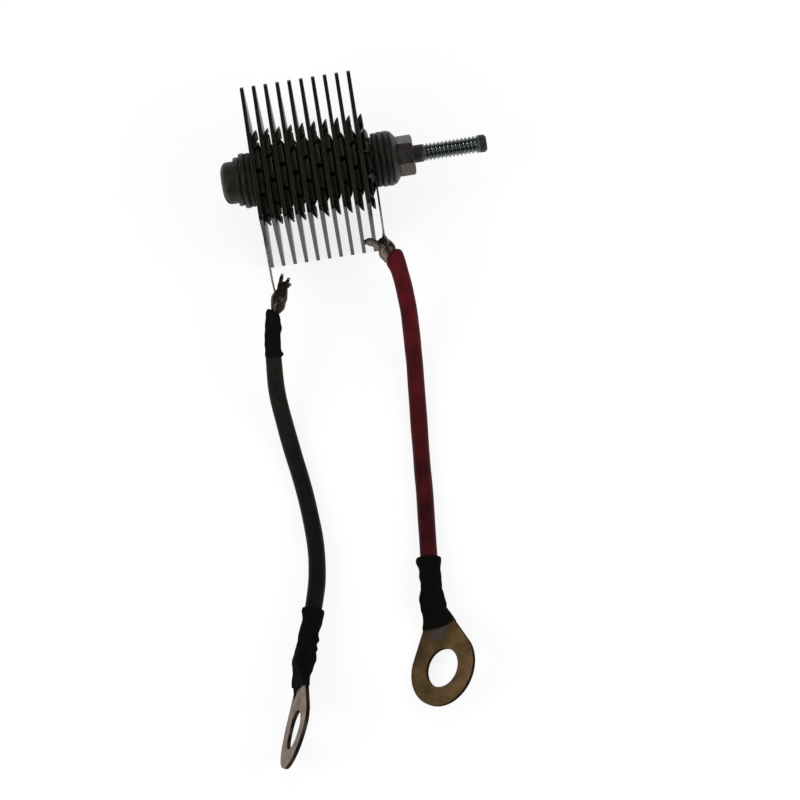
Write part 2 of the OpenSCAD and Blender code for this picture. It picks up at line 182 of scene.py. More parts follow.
head_r = 0.0057
head_at = -0.05225
head_h = 0.0039
crown_h = 0.0019
crown_flat_r = 0.0022
slot_half = 0.00065
slot_depth = 0.0015
shank_r = 0.0021
thread_r = 0.00238
thread_pitch = 0.001058
thread_depth = 0.00052
free_l = 0.0198
filled_turns = 0.0022
run_in = 0.001
run_out = 0.0006
plain_tip = 0.0022
tip_chamfer = 0.0006
tip_r = 0.0018
flank_rise = 1.7
flank_start = 0.4

# The crown is a height over the head's disc: lines across the slot at -R cos(a), each
# filled from rim to rim, doubled at the slot's walls, and sunk to its floor between them.
quarter = np.linspace(0, np.pi / 2, 15)[:-1]
half_lines = np.concatenate([-head_r * np.cos(quarter), [-slot_half, -slot_half, 0]])
lines = np.concatenate([half_lines, -half_lines[-2::-1]])
sunk = np.repeat([False, True, False], [15, 3, 15])
fill = np.sin(np.linspace(-np.pi / 2, np.pi / 2, 25))
crown_y = np.repeat(lines[:, None], len(fill), 1)
crown_z = np.sqrt(np.maximum(head_r**2 - lines**2, 0))[:, None] * fill
crown_r = np.clip((np.hypot(crown_y, crown_z) - crown_flat_r) / (head_r - crown_flat_r), 0, 1)
crown_x = crown_h * (1 - np.sqrt(1 - crown_r**2))
crown_x[sunk] = np.maximum(crown_x[sunk], slot_depth)
crown = np.stack([head_at + crown_x, crown_z, crown_y], -1).reshape(-1, 3)

# Below the crown the screw is turned: each ring of the profile has the crown's own rim angles.
# The thread is a groove that deepens and runs out once a pitch and moves on by a pitch each turn.
# Its crests are flat over 24 % of the pitch, and its floor over 18 %.
rim_turn = np.arctan2(np.r_[lines, lines[::-1]], np.r_[crown_z[:, -1], crown_z[::-1, 0]])
rim_turn = np.unique(np.round(rim_turn, 9))
thread_x = np.arange(0, free_l - tip_chamfer, thread_pitch / 28)
head_x = np.r_[head_at + crown_h, head_at + head_h, head_at + head_h, 0]
profile_x = np.r_[head_x, thread_x, free_l - tip_chamfer, free_l, free_l]
profile_r = np.r_[head_r, head_r, shank_r, shank_r, thread_r + 0 * thread_x, thread_r, tip_r, 0]
groove = np.abs(2 * ((profile_x[:, None] / thread_pitch - rim_turn / (2 * np.pi)) % 1) - 1)
cut = thread_depth * np.clip(flank_rise * groove - flank_start, 0, 1)
starting = np.clip((profile_x - filled_turns) / run_in, 0, 1)
ending = np.clip((free_l - plain_tip - profile_x) / run_out, 0, 1)
turned_x = np.repeat(profile_x[:, None], len(rim_turn), 1)
turned_r = profile_r[:, None] - cut * (starting * ending)[:, None]
turned = np.stack([turned_x, turned_r * np.cos(rim_turn), turned_r * np.sin(rim_turn)], -1).reshape(-1, 3)
crown_part = (crown, quads(len(lines), len(fill)))
turned_part = (turned, quads(len(profile_x), len(rim_turn), around=True))
screw_mesh = grids_mesh("clamp_screw_threaded", [crown_part, turned_part])


# Rolled zinc gives the eye pale crests with a soft row of glints; the grooves are painted darker,
# as painted shade. Brown-black varnish ran over the head and filled the first turns, and the tip
# is brown-black too.
def clouds(tree, size, detail=4.0):
    """A level that changes in cloudy spots of this size in metres."""
    place = add(tree, "TexCoord").outputs["Object"]
    return add(tree, "TexNoise", Vector=place, Scale=1 / size, Detail=detail, Roughness=0.6).outputs[0]


zinc, tree = new_tree("varnished_zinc_steel")
stain = clouds(tree, 0.0016)
crest_zinc = add(tree, "ValToRGB", stops=[(0.3, "78807f"), (0.7, "9ca4a3")], Fac=stain).outputs[0]
runs = clouds(tree, 0.0022)
varnish_brown = add(tree, "ValToRGB", stops=[(0.3, "1b1812"), (0.7, "2d281f")], Fac=runs).outputs[0]
axes = add(tree, "SeparateXYZ", Vector=add(tree, "TexCoord").outputs["Object"]).outputs
across = add(tree, "CombineXYZ", _1=axes[1], _2=axes[2]).outputs[0]
off_axis = add(tree, "VectorMath", {"operation": "LENGTH"}, _0=across).outputs["Value"]
# The grooves' colour is darker than the crests': painted shade in the roots of the thread.
shaded_groove_to = thread_r - 0.0002
crest_from = thread_r - 0.00003
crest = add(tree, "MapRange", Value=off_axis, From_Min=shaded_groove_to, From_Max=crest_from).outputs[0]
zinc_grey = add(tree, "Mix", {"data_type": "RGBA"}, _0=crest, _6=linear("5f6664"), _7=crest_zinc).outputs[2]
# The zinc is bare from about 3 to 18 mm along the stud, with ragged borders.
ragged = add(tree, "Math", {"operation": "MULTIPLY_ADD"}, _0=stain, _1=0.0012, _2=axes[0]).outputs[0]
span = add(tree, "MapRange", Value=ragged, From_Min=0.0, From_Max=0.02).outputs[0]
bare_stops = [(0.0, 0.0), (0.14, 0.0), (0.19, 1.0), (0.88, 1.0), (0.93, 0.0)]
bare = add(tree, "ValToRGB", stops=bare_stops, Fac=span).outputs[0]
colour = add(tree, "Mix", {"data_type": "RGBA"}, _0=bare, _6=varnish_brown, _7=zinc_grey).outputs[2]
gloss = add(tree, "MapRange", Value=bare, To_Min=0.5, To_Max=0.22).outputs[0]
bump = add(tree, "Bump", Strength=1.0, Distance=0.00004, Height=runs).outputs[0]
shader = add(
    tree, "BsdfPrincipled", Base_Color=colour, Metallic=bare, Roughness=gloss,
    Specular_IOR_Level=0.3, Normal=bump,
)
add(tree, "OutputMaterial", Surface=shader.outputs[0])
screw = put("clamp_screw_threaded", screw_mesh, zinc, "clamp_screw")


# Insulating tube: a thin wound phenolic tube slipped over the shank. It keeps the live
# plates off the earthed screw, and hardly shows between the spacers.
def dress(material, *names):
    """Gives CAD nodes that keep their shape this material."""
    for name in names:
        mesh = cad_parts[name].data
        mesh.materials.clear()
        mesh.materials.append(material)


# Wound paper and resin gives the eye a dull dark brown with faint clouds.
phenolic, tree = new_tree("wound_phenolic")
cloud = clouds(tree, 0.001)
colour = add(tree, "ValToRGB", stops=[(0.3, "231a13"), (0.7, "3b2c20")], Fac=cloud).outputs[0]
bump = add(tree, "Bump", Strength=1.0, Distance=0.00003, Height=cloud).outputs[0]
shader = add(tree, "BsdfPrincipled", Base_Color=colour, Roughness=0.55, Normal=bump)
add(tree, "OutputMaterial", Surface=shader.outputs[0])
dress(phenolic, "insulating_tube")


# Flat washers and the cupped spring washer: turned and pressed steel rings under the
# head and the nut, round at the rim, dipped in brown varnish with the whole stack.
washer_round = 0.00035


def softened(name, node, width, material):
    """A copy of a CAD node with its loose triangles merged and its sharp edges rounded by width."""
    mesh = welded(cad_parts[node].data.copy())
    mesh.name = name
    mesh.materials.clear()
    mesh.shade_smooth()
    mesh.set_sharp_from_angle(angle=np.radians(30))
    piece = put(name, mesh, material, node)
    bevel = piece.modifiers.new("round_edges", "BEVEL")
    bevel.width = width
    bevel.segments = 3
    bevel.limit_method = "ANGLE"
    bevel.angle_limit = np.radians(40)
    bevel.harden_normals = True
    return piece


# Dipped varnish gives the eye brown-black clouds with a soft gloss over a fine grain. The
# grain is drawn 0.5 mm wide, coarser than the real one, so that it shows.
varnished_steel, tree = new_tree("varnished_steel")
cloud = clouds(tree, 0.0024)
dip_stops = [(0.25, "14120d"), (0.55, "211e17"), (0.8, "322d23")]
colour = add(tree, "ValToRGB", stops=dip_stops, Fac=cloud).outputs[0]
grain = clouds(tree, 0.0005)
gloss = add(tree, "MapRange", Value=cloud, To_Min=0.35, To_Max=0.55).outputs[0]
bump = add(tree, "Bump", Strength=1.0, Distance=0.00003, Height=grain).outputs[0]
shader = add(tree, "BsdfPrincipled", Base_Color=colour, Roughness=gloss, Specular_IOR_Level=0.35, Normal=bump)
add(tree, "OutputMaterial", Surface=shader.outputs[0])
for node in (
    "small_flat_washer", "left_flat_washer", "inner_flat_washer", "outer_flat_washer", "cupped_washer",
):
    softened(node + "_ring", node, washer_round, varnished_steel)

# Fibre washers: punched vulcanised fibre that parts the tags from the steel washers.
# Under the varnish the fibre gives the eye a dull, mottled brown, and its rims are worn round.
fibre, tree = new_tree("vulcanised_fibre")
cloud = clouds(tree, 0.0012)
colour = add(tree, "ValToRGB", stops=[(0.3, "191410"), (0.7, "2a2119")], Fac=cloud).outputs[0]
bump = add(tree, "Bump", Strength=1.0, Distance=0.00004, Height=cloud).outputs[0]
shader = add(tree, "BsdfPrincipled", Base_Color=colour, Roughness=0.6, Specular_IOR_Level=0.35, Normal=bump)
add(tree, "OutputMaterial", Surface=shader.outputs[0])
fibre_round = 0.0004
for node in ("left_fibre_washer", "right_fibre_washer"):
    softened(node + "_ring", node, fibre_round, fibre)

# Cell plates: square aluminium sheets with a selenium layer, dipped in dark varnish.
# They are sheared, so their edges are a little round, and threaded on the tube.
plate_count = 10
plate_round = 0.00012
plate_half = 0.019

# The varnish gives the eye cloudy grey-brown faces, painted lighter to lift the shade between the
# plates, and nearly black edges. The near edges are painted reddish below their top as a painted
# reflection, and the shine is pink on the sides, greenish on top and turned down at the foot as
# painted shade.
plate_varnish, tree = new_tree("varnished_cell_plate")
cloud = clouds(tree, 0.004)
# The faces' colours are painted lighter to lift the shade in the gaps between the plates.
shade_lifted_face_stops = [(0.25, "39352f"), (0.55, "47423b"), (0.8, "595248")]
shade_lifted_face_colour = add(tree, "ValToRGB", stops=shade_lifted_face_stops, Fac=cloud).outputs[0]
edge_cloud = clouds(tree, 0.0018)
edge_stops = [(0.3, "0f0d0a"), (0.6, "17140f"), (0.85, "26211a")]
edge_colour = add(tree, "ValToRGB", stops=edge_stops, Fac=edge_cloud).outputs[0]
facing = add(tree, "SeparateXYZ", Vector=add(tree, "NewGeometry").outputs["Normal"]).outputs
on_face = add(tree, "Math", {"operation": "ABSOLUTE"}, _0=facing[0]).outputs[0]
# The level is 0 at the plate's foot and 1 at its top.
height = add(tree, "SeparateXYZ", Vector=add(tree, "TexCoord").outputs["Object"]).outputs[2]
level = add(tree, "MapRange", Value=height, From_Min=-plate_half, From_Max=plate_half).outputs[0]
# Faces turned to the near side are painted reddish below the top: a painted reflection.
near = add(tree, "MapRange", Value=facing[1], From_Min=-0.5, From_Max=-0.9).outputs[0]
below = add(tree, "ValToRGB", stops=[(0.78, 1.0), (0.95, 0.0)], Fac=level).outputs[0]
painted_reflection_mask = add(tree, "Math", {"operation": "MULTIPLY"}, _0=near, _1=below).outputs[0]
painted_reflection_red = linear("2b1a17")
edges = add(tree, "Mix", {"data_type": "RGBA"}, _0=painted_reflection_mask, _6=edge_colour, _7=painted_reflection_red).outputs[2]
colour = add(tree, "Mix", {"data_type": "RGBA"}, _0=on_face, _6=edges, _7=shade_lifted_face_colour).outputs[2]
gloss = add(tree, "MapRange", Value=edge_cloud, To_Min=0.2, To_Max=0.36).outputs[0]
# The shine is turned down at the foot: painted shade where the contact shadow shows in it.
shine_stops = [(0.0, 0.1), (0.16, 0.27), (0.97, 0.27), (0.995, 0.2)]
shine = add(tree, "ValToRGB", stops=shine_stops, Fac=level).outputs[0]
top = add(tree, "ValToRGB", stops=[(0.97, 0.0), (0.995, 1.0)], Fac=level).outputs[0]
tint = add(tree, "Mix", {"data_type": "RGBA"}, _0=top, _6=linear("f0d8d4"), _7=linear("d2d2c0")).outputs[2]
bump = add(tree, "Bump", Strength=1.0, Distance=0.00003, Height=cloud).outputs[0]
shader = add(
    tree, "BsdfPrincipled", Base_Color=colour, Roughness=gloss, Specular_IOR_Level=shine,
    Specular_Tint=tint, Normal=bump,
)
add(tree, "OutputMaterial", Surface=shader.outputs[0])
for i in range(1, plate_count + 1):
    plate = softened(f"varnished_plate_{i}", f"cell_plate_{i}", plate_round, plate_varnish)

# Contact springs and spacers: star washers stamped from thin spring brass, with a brass
# ring inside each that sets the pitch. They are threaded on the tube between the plates.
open_end_from = -0.0141
open_end_to = -0.0136

# Aged brass gives the eye a dull grey-brown, painted lighter to lift the shade between the plates.
# The spring at the open end of the stack is left dark, without that lift.
spring_brass, tree = new_tree("darkened_spring_brass")
cloud = clouds(tree, 0.002)
# The springs' colours are painted lighter to lift the shade in the gaps.
brass_stops = [(0.3, "555047"), (0.65, "676157"), (0.9, "797164")]
shade_lifted_brass = add(tree, "ValToRGB", stops=brass_stops, Fac=cloud).outputs[0]
along = add(tree, "SeparateXYZ", Vector=add(tree, "TexCoord").outputs["Object"]).outputs[0]
open_end = add(tree, "MapRange", Value=along, From_Min=open_end_from, From_Max=open_end_to).outputs[0]
colour = add(tree, "Mix", {"data_type": "RGBA"}, _0=open_end, _6=shade_lifted_brass, _7=linear("1c1914")).outputs[2]
bump = add(tree, "Bump", Strength=1.0, Distance=0.00003, Height=cloud).outputs[0]
shader = add(tree, "BsdfPrincipled", Base_Color=colour, Roughness=0.42, Specular_IOR_Level=0.35, Normal=bump)
add(tree, "OutputMaterial", Surface=shader.outputs[0])
for i in range(1, plate_count + 1):
    dress(spring_brass, f"contact_spring_{i}", f"spacer_{i}")

# Solder tags: punched strips of tinned brass with an eye on the tube and a hole for the
# strands. The pull of the lead bends each free end aside a little.
tag_round = 0.00008
bend_from = 0.012
bare_to = -0.018
dipped_from = -0.014

# Hot tin gives the eye a soft grey shine that mirrors the table. The varnish dulled it by the stack.
tinned_sheet, tree = new_tree("tinned_brass_sheet")
cloud = clouds(tree, 0.002)
tin = add(tree, "ValToRGB", stops=[(0.3, "7b746d"), (0.7, "a8a099")], Fac=cloud).outputs[0]
outward = add(tree, "SeparateXYZ", Vector=add(tree, "TexCoord").outputs["Object"]).outputs[1]
dipped = add(tree, "MapRange", Value=outward, From_Min=bare_to, From_Max=dipped_from).outputs[0]
colour = add(tree, "Mix", {"data_type": "RGBA"}, _0=dipped, _6=tin, _7=linear("2b261f")).outputs[2]
bump = add(tree, "Bump", Strength=1.0, Distance=0.00003, Height=cloud).outputs[0]
shader = add(tree, "BsdfPrincipled", Base_Color=colour, Roughness=0.4, Metallic=0.8, Normal=bump)
add(tree, "OutputMaterial", Surface=shader.outputs[0])
for name, node, bent in (("black_tag_strip", "black_tag", 0.0011), ("red_tag_strip", "red_tag", -0.0004)):
    tag = softened(name, node, tag_round, tinned_sheet)
    # The shift of the free end grows with the square of the reach.
    corners = np.empty(3 * len(tag.data.vertices))
    tag.data.vertices.foreach_get("co", corners)
    corners = corners.reshape(-1, 3)
    reach = -corners[:, 1] - bend_from
    corners[:, 0] += bent * np.clip(reach / reach.max(), 0, 1) ** 2
    tag.data.vertices.foreach_set("co", corners.ravel())

# Nut: a plated steel hexagon, chamfered on its outer face and tightened on the cupped
# washer. The plating gives the eye a grey, softly mirrored metal with faint stains.
nut_steel, tree = new_tree("plated_nut_steel")
cloud = clouds(tree, 0.0018)
colour = add(tree, "ValToRGB", stops=[(0.3, "433f3c"), (0.7, "5f5b58")], Fac=cloud).outputs[0]
bump = add(tree, "Bump", Strength=1.0, Distance=0.00004, Height=cloud).outputs[0]
shader = add(tree, "BsdfPrincipled", Base_Color=colour, Roughness=0.34, Metallic=1.0, Normal=bump)
add(tree, "OutputMaterial", Surface=shader.outputs[0])
nut_round = 0.0007
softened("hexagon_nut", "hex_nut", nut_round, nut_steel)


# Leads: stranded copper in soft insulation, black to the left tag and red to the right
# one. Each runs straight out of its joint, sags to the table and lies there to its lug.
def smooth_path(points, step):
    """Points every step along the cubic curve through points; a tangent is half the way between the neighbours.

    Columns past the third, such as a radius, are carried along.
    """
    p = np.vstack([2 * points[0] - points[1], points, 2 * points[-1] - points[-2]])
    t = np.linspace(0, 1, 24, endpoint=False)
    terms = [-t + 2 * t**2 - t**3, 2 - 5 * t**2 + 3 * t**3, t + 4 * t**2 - 3 * t**3, t**3 - t**2]
    basis = np.stack(terms, 1) / 2
    windows = np.stack([p[k : len(p) - 3 + k] for k in range(4)], 1)
    fine = np.vstack([np.einsum("tk,nkc->ntc", basis, windows).reshape(-1, p.shape[1]), points[-1:]])
    run = distances(fine[:, :3])
    at = np.linspace(0, run[-1], int(np.ceil(run[-1] / step)) + 1)
    return np.stack([np.interp(at, run, column) for column in fine.T], 1)


def distances(path):
    """Distance of each point from the path's start, along the path."""
    return np.r_[0, np.cumsum(np.linalg.norm(np.diff(path, axis=0), axis=1))]


def directions(path):
    """Unit vectors along a path, level beside it, and up from it square to both."""
    ahead = np.gradient(path, axis=0)
    ahead /= np.linalg.norm(ahead, axis=1, keepdims=True)
    side = np.cross(ahead, [0, 0, 1.0])
    side /= np.linalg.norm(side, axis=1, keepdims=True)
    return ahead, side, np.cross(side, ahead)


def angles(sides):
    """Even angles around a ring with this many points."""
    return 2 * np.pi * np.arange(sides) / sides


def rings(path, radius, sides):
    """Rings of points around a path; the radius may change by ring and by angle."""
    _, side, up = directions(path)
    turn = angles(sides)
    out = np.cos(turn)[:, None] * side[:, None] + np.sin(turn)[:, None] * up[:, None]
    return path[:, None] + np.broadcast_to(radius, (len(path), sides))[..., None] * out


def capped(grid):
    """A ring grid as points and faces, with each end drawn together to its middle."""
    first = grid[:1].mean(1, keepdims=True).repeat(grid.shape[1], 1)
    last = grid[-1:].mean(1, keepdims=True).repeat(grid.shape[1], 1)
    closed = np.concatenate([first, grid, last])
    return closed.reshape(-1, 3), quads(len(closed), grid.shape[1], around=True)


def lumps(rows, columns, seed, rise):
    """A smooth field between about -1 and 1 that closes around: nine waves of whole turns and random phase."""
    random = np.random.default_rng(seed)
    waves = 9
    k = random.uniform(0.5, rise, waves)
    turns = random.integers(0, 4, waves)
    phase = random.uniform(0, 2 * np.pi, waves)
    s = np.linspace(0, 1, rows)[:, None, None]
    return np.cos(2 * np.pi * k * s + turns * angles(columns)[:, None] + phase).sum(-1) / np.sqrt(waves)


lead_r = 0.0022
lead_sides = 28
lead_oval = 0.04
lead_lumps = 0.016
lead_step = 0.0005
slant_reach = 0.0045
drawn_reach = 0.0009
dome_rings = 6
dome_least = 0.06
black_end = (0.3, 0.16, 0.014)
red_end = (0.0, -0.05, 0.005)
red_bulge = [(0.0032, 0, 0.0005, 0.0016, 0.9)]
black_route = np.array([
    [-43.5, -38, 0], [-44, -40.5, -0.5], [-44.6, -43.5, -1.6], [-45.1, -46.5, -3.2],
    [-45.5, -49.5, -5.1], [-45.8, -52.5, -7.2], [-46, -55.5, -9.2], [-46, -58.5, -11],
    [-45.8, -61.5, -12.6], [-45.4, -65, -14.2], [-44.9, -69, -15.6], [-44.3, -73.5, -16.5],
    [-43.5, -79, -16.8], [-42.8, -85, -16.7], [-42.3, -91, -16.2], [-42.1, -97, -15.5],
    [-42.3, -103, -14.9], [-43.1, -109, -14.1], [-44.6, -115, -13.3], [-46.9, -122.5, -12.3],
]) / 1000
red_route = np.array([
    [-9.5, -27.5, 0], [-9.1, -29.5, -0.4], [-8.7, -32.5, -1.4], [-8.3, -35.5, -3],
    [-8.1, -38.5, -4.9], [-8, -41.5, -7], [-8.1, -44.5, -9], [-8.2, -47.5, -10.9],
    [-8.4, -50.5, -12.5], [-8.6, -54, -14.2], [-9, -58.5, -15.7], [-9.5, -64, -16.6],
    [-10, -70, -16.8], [-10.5, -76, -16.8], [-11, -82, -16.8], [-11.4, -88, -16.6],
    [-11.9, -94, -16.2], [-12.4, -99.5, -15.8], [-12.9, -105, -15.4], [-13.4, -111, -15],
]) / 1000
black_path = smooth_path(black_route, lead_step)
red_path = smooth_path(red_route, lead_step)


# Soft insulation gives the eye hardly any sheen: dull black on one lead, deep red on the other,
# darker towards the lugs. The scuffs are drawn 0.6 mm wide so that they show.
def insulation(name, colour_stops):
    """Cloudy plastic with fine scuffs; the place on its colours falls by 0.35 over the 80 mm to the lug."""
    material, tree = new_tree(name)
    cloud = clouds(tree, 0.005)
    along = add(tree, "SeparateXYZ", Vector=add(tree, "TexCoord").outputs["Object"]).outputs[1]
    darker_towards_lugs = add(tree, "Math", {"operation": "MULTIPLY_ADD"}, _0=along, _1=4.4, _2=0.3).outputs[0]
    cloud_and_slope = add(tree, "Math", {"operation": "ADD"}, _0=cloud, _1=darker_towards_lugs).outputs[0]
    colour = add(tree, "ValToRGB", stops=colour_stops, Fac=cloud_and_slope).outputs[0]
    scuffs = clouds(tree, 0.0006, detail=6.0)
    gloss = add(tree, "MapRange", Value=cloud, To_Min=0.45, To_Max=0.65).outputs[0]
    bump = add(tree, "Bump", Strength=1.0, Distance=0.00006, Height=scuffs).outputs[0]
    shader = add(
        tree, "BsdfPrincipled", Base_Color=colour, Roughness=gloss, Specular_IOR_Level=0.1, Normal=bump
    )
    add(tree, "OutputMaterial", Surface=shader.outputs[0])
    return material


def end_share(run, drawn, thinned, reach):
    """Share of the full thickness near a lead's end: drawn in at the cut, and thinner over a longer reach."""
    return 1 - drawn * np.exp(-run / drawn_reach) - thinned * np.exp(-((run / reach) ** 2))


def slanting(grid, path, radius, slant):
    """Moves the first rings along the lead, one side on and one back, so that its end is cut at a slant."""
    fade = np.clip(1 - distances(path) / slant_reach, 0, 1)[:, None]
    shift = slant * radius * fade * np.cos(angles(grid.shape[1]))
    return grid + shift[..., None] * directions(path)[0][:, None]


def bumps(s, turn, places):
    """Sum of round bumps on a tube, each with its distance, angle, height, length and angular width."""
    away = [(np.abs(turn - angle) + np.pi) % (2 * np.pi) - np.pi for _, angle, _, _, _ in places]
    return sum(h * np.exp(-(((s - at) / l) ** 2) - (d / w) ** 2) for d, (at, _, h, l, w) in zip(away, places))


black_plastic = insulation("black_insulation", [(0.2, "0e0d0b"), (0.5, "171411"), (0.8, "231f1a")])
red_plastic = insulation("red_insulation", [(0.2, "2d050a"), (0.5, "45080f"), (0.8, "5b0f18")])
for name, path, material, node, seed, slant, tip, dome, ends, bulges in (
    ("black_lead_wire", black_path, black_plastic, "black_lead", 3, -0.2, 0.0, 0.0006, black_end, []),
    ("red_lead_wire", red_path, red_plastic, "red_lead", 5, 0.2, 0.0012, 0.0018, red_end, red_bulge),
):
    # The lead is a little wider than high. Its end is a dome that stands out by tip past the route.
    past = tip * np.linspace(1, 0, dome_rings, endpoint=False)[:, None]
    path = np.vstack([path[:1] - past * directions(path)[0][:1], path])
    path = path[np.r_[True, np.diff(distances(path)) > 1e-9]]
    run = distances(path)[:, None]
    turn = angles(lead_sides)
    domed = np.sqrt(np.clip(1 - (1 - run / dome) ** 2, dome_least, 1)) ** (run < dome)
    radius = lead_r * domed * end_share(run, *ends) * (1 + lead_oval * np.cos(turn) ** 2)
    radius = radius * (1 + lead_lumps * lumps(len(path), lead_sides, seed, rise=9)) + bumps(run, turn, bulges)
    grid = slanting(rings(path, radius, lead_sides), path, lead_r * domed, slant)
    put(name, grids_mesh(name, [capped(grid)]), material, node)

# Bare strands: the leads' copper ends, twisted together, laid against the tags and
# splayed past the solder. The red one passes through its tag's hole and hooks over.
strand_r = 0.00026
strand_sides = 8
strand_step = 0.0002


def twisted(route, count, spread, turns):
    """Strands wound around a route at a distance spread, each with a thinner tip."""
    path = smooth_path(np.array(route) / 1000, strand_step)
    _, side, up = directions(path)
    t = np.linspace(0, 1, len(path))[:, None]
    for k in range(count):
        a = 2 * np.pi * (k / count + turns * t)
        wound = path + spread * (np.cos(a) * side + np.sin(a) * up)
        yield capped(rings(wound, strand_r * np.minimum(1, 4 * (1 - t) + 0.5), strand_sides))


black_prongs = [
    [[-43.5, -38, 0], [-43.1, -36.4, 0.3], [-42.3, -34.6, 0.5],
     [-41.4, -32.6, 0.7], [-40.5, -30.4, 0.8], [-39.7, -28.4, 1]],
    [[-43.5, -38, 0], [-43, -36.4, 0.1], [-41.8, -34.8, 0.3],
     [-40.3, -33, 0.4], [-39.2, -31.3, 0.5], [-38.1, -29.6, 0.5]],
    [[-43.5, -38, 0], [-42.9, -36.5, -0.1], [-41.6, -35, 0.2],
     [-40.3, -33.4, 0.3], [-39.3, -32.1, 0.4], [-37.9, -31.3, 0.4]],
]
red_hook = [
    [-9.5, -27.5, 0], [-10.3, -26.2, 0.2], [-11.2, -25, 0.2], [-12.4, -24.5, 0.1],
    [-13.6, -23.6, 0.1], [-15.1, -22.9, 0.1], [-16.9, -22.7, -0.2],
]
black_wound = [wire for route in black_prongs for wire in twisted(route, count=4, spread=0.0003, turns=1.4)]
red_layers = ((1, 0.0), (7, 0.00055))
red_wound = [wire for count, spread in red_layers for wire in twisted(red_hook, count, spread, turns=1.3)]

# Drawn copper wire, scorched by the iron, gives the eye a dark brown shine with lighter spots.
bare_copper, tree = new_tree("bare_tinned_copper")
cloud = clouds(tree, 0.001)
colour = add(tree, "ValToRGB", stops=[(0.3, "1f1611"), (0.7, "4a382b")], Fac=cloud).outputs[0]
bump = add(tree, "Bump", Strength=1.0, Distance=0.00002, Height=cloud).outputs[0]
shader = add(tree, "BsdfPrincipled", Base_Color=colour, Roughness=0.38, Metallic=0.8, Normal=bump)
add(tree, "OutputMaterial", Surface=shader.outputs[0])
for name, node, wires in (
    ("black_strand_bundle", "black_strands", black_wound),
    ("red_strand_bundle", "red_strands", red_wound),
):
    put(name, grids_mesh(name, wires), bare_copper, node)

# Solder: dull tin-lead run around strands and tag by hand, smooth where it flowed. The red
# joint fans out from the lead's end, has a tail along the hook, and creeps up the tag in a point.
solder_sides = 32
solder_step = 0.00012
solder_rough = 0.05


def swelling(route, widths, heights, seed):
    """Solder along a route: oval rings whose level half-width and half-height follow two lists in mm."""
    path = smooth_path(np.column_stack([route, widths, heights]) / 1000, solder_step)
    turn = angles(solder_sides)
    oval = 1 / np.hypot(np.cos(turn) / path[:, 3:4], np.sin(turn) / path[:, 4:])
    rough = 1 + solder_rough * lumps(len(path), solder_sides, seed, rise=3)
    return capped(rings(path[:, :3], oval * rough, solder_sides))


black_run = [
    [-43.2, -38.8, 0], [-42.5, -37.4, 0.2], [-41.95, -36.2, 0.3], [-41.4, -34.75, 0.4],
    [-40.6, -33.3, 0.5], [-40, -31.9, 0.6], [-39.5, -30.6, 0.6],
]
red_run = [
    [-10.5, -29.1, 0], [-10.7, -28, 0.1], [-11.1, -26.8, 0.1], [-11.4, -25.4, 0.2],
    [-11.55, -24.1, 0.2], [-11.5, -23.1, 0.1], [-11.3, -22.4, 0],
]
red_tail = [
    [-12.3, -25.2, 0.2], [-13.3, -24.3, 0.1], [-14.3, -23.5, 0.1],
    [-15.2, -23, 0.1], [-16, -22.75, 0], [-16.7, -22.7, -0.1],
]
tag_creep = [
    [-11.5, -26.2, 0], [-11.5, -25.2, 0], [-11.45, -24.2, 0],
    [-11.45, -23.2, 0], [-11.45, -22.3, 0], [-11.45, -21.5, 0],
]
black_swell = swelling(black_run, [1, 1.7, 2.05, 2.2, 1.7, 1.15, 0.6], [0.9, 1.5, 1.8, 2, 1.5, 1, 0.5], 11)
red_swell = swelling(red_run, [1.6, 2.1, 2.4, 2.4, 2.1, 1.5, 0.5], [0.8, 1, 1.4, 1.9, 1.8, 1.3, 0.4], 12)
tail_swell = swelling(red_tail, [1.6, 1.15, 1.05, 1.2, 0.9, 0.5], [1.3, 1, 0.9, 0.95, 0.75, 0.4], 14)
creep_swell = swelling(tag_creep, [0.6, 1.3, 1.3, 0.95, 0.5, 0.3], [2.4, 3.2, 3.45, 3.45, 3.4, 3.3], 13)

# Solder gives the eye dark grey metal with soft clouds. On the red joint's outer side it is
# painted pale, as painted light, and duller.
solder, tree = new_tree("tin_lead_solder")
cloud = clouds(tree, 0.0012)
grey_stops = [(0.25, "302a26"), (0.6, "463e39"), (0.85, "625850")]
grey = add(tree, "ValToRGB", stops=grey_stops, Fac=cloud).outputs[0]
place = add(tree, "TexCoord").outputs["Object"]
outer_way = (-0.85, -0.53, 0)
outward = add(tree, "VectorMath", {"operation": "DOT_PRODUCT"}, _0=place, _1=outer_way).outputs["Value"]
ragged = add(tree, "Math", {"operation": "MULTIPLY_ADD"}, _0=cloud, _1=0.001, _2=outward).outputs[0]
span = add(tree, "MapRange", Value=ragged, From_Min=0.02, From_Max=0.03).outputs[0]
# The pale colour on the red joint's outer side is painted light.
painted_light_stops = [(0.4, 0.0), (0.52, 1.0), (0.75, 1.0), (0.85, 0.0)]
painted_light = add(tree, "ValToRGB", stops=painted_light_stops, Fac=span).outputs[0]
colour = add(tree, "Mix", {"data_type": "RGBA"}, _0=painted_light, _6=grey, _7=linear("83776d")).outputs[2]
gloss = add(tree, "MapRange", Value=painted_light, To_Min=0.3, To_Max=0.5).outputs[0]
bump = add(tree, "Bump", Strength=1.0, Distance=0.00004, Height=cloud).outputs[0]
shader = add(tree, "BsdfPrincipled", Base_Color=colour, Roughness=gloss, Metallic=0.85, Normal=bump)
add(tree, "OutputMaterial", Surface=shader.outputs[0])
for name, node, swells in (
    ("black_solder_joint", "black_solder", [black_swell]),
    ("red_solder_joint", "red_solder", [red_swell, tail_swell, creep_swell]),
):
    put(name, grids_mesh(name, swells), solder, node)


# Start sleeve: a short black sleeve shrunk over the end of the black lead. It draws in
# towards the bare strands and is a little wider than the lead elsewhere.
def shell(outer, inner):
    """A wall between an outer and an inner ring grid, closed over both ends."""
    wall = np.concatenate([outer, inner[::-1]])
    return wall.reshape(-1, 3), quads(len(wall), wall.shape[1], around=True, along=True)


